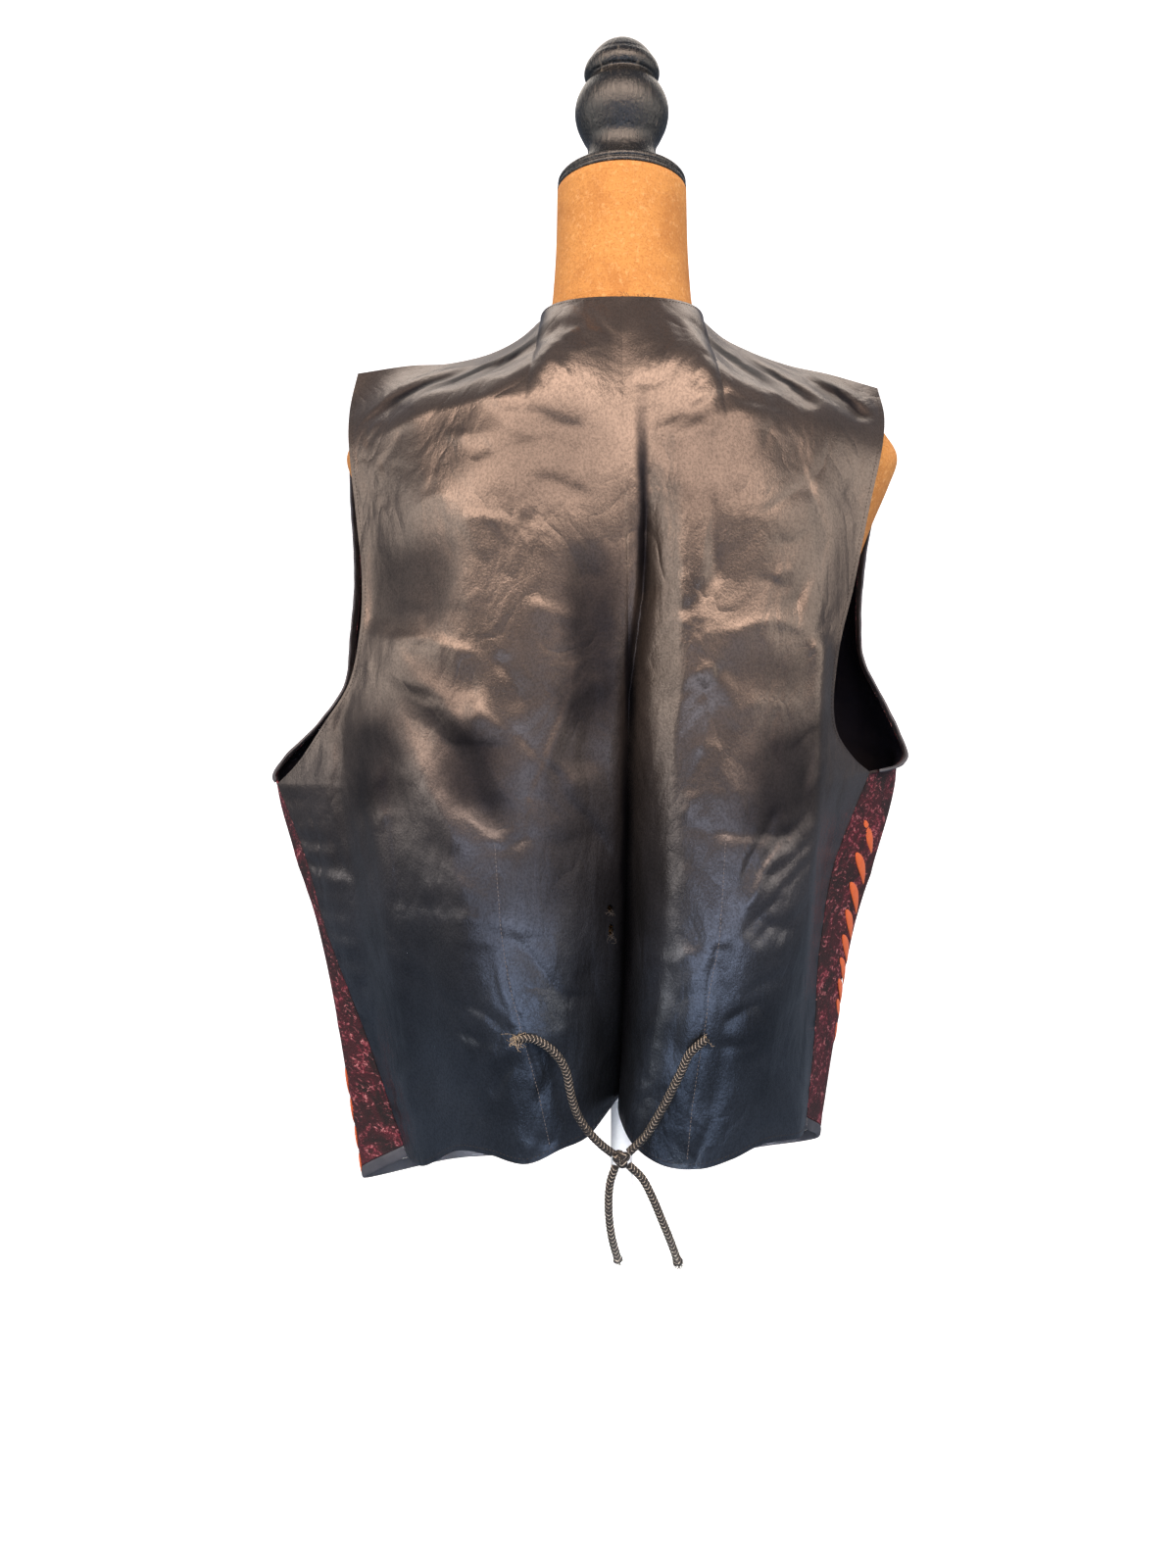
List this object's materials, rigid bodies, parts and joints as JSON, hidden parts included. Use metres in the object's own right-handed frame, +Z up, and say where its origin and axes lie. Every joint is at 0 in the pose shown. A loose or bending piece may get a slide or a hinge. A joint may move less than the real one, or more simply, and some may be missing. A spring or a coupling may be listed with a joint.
{
  "type": "waistcoat on a dress form",
  "caption": "Open-armed satin-backed waistcoat with velvet fronts and a tie cord at the back, worn by a limbless suede dress form on a round stand.",
  "frame": {"origin": "centre of the round base's underside, on the floor", "axes": "+Z up, the back of the waistcoat faces -Y, its front faces +Y"},
  "size_m": [0.5403, 0.33, 1.4125],
  "materials": {
    "back_satin": "black lining satin, warm sheen above and blue sheen below",
    "front_velvet": "crushed burgundy velvet with orange satin stitches",
    "binding_satin": "charcoal satin binding",
    "button": "polished black",
    "tie_cord": "round braid, black with pale flecks",
    "form_suede": "tan suede with a soft nap",
    "black_wood": "turned, black, worn semi-gloss",
    "stand_metal": "plain pale satin paint"
  },
  "bodies": {
    "root": {"back_left": "back_satin", "back_right": "back_satin", "front_left": "front_velvet", "front_right": "front_velvet", "armhole_binding_left": "binding_satin", "armhole_binding_right": "binding_satin", "edge_binding_left": "binding_satin", "edge_binding_right": "binding_satin", "hem_binding_left": "binding_satin", "hem_binding_right": "binding_satin", "button_1": "button", "button_2": "button", "button_3": "button", "button_4": "button", "cord_left": "tie_cord", "cord_right": "tie_cord", "cord_tail_left": "tie_cord", "cord_tail_right": "tie_cord", "cord_knot": "tie_cord", "form_torso": "form_suede", "form_disc": "black_wood", "form_finial": "black_wood", "form_pole": "stand_metal", "form_base": "stand_metal"}
  },
  "joints": []
}
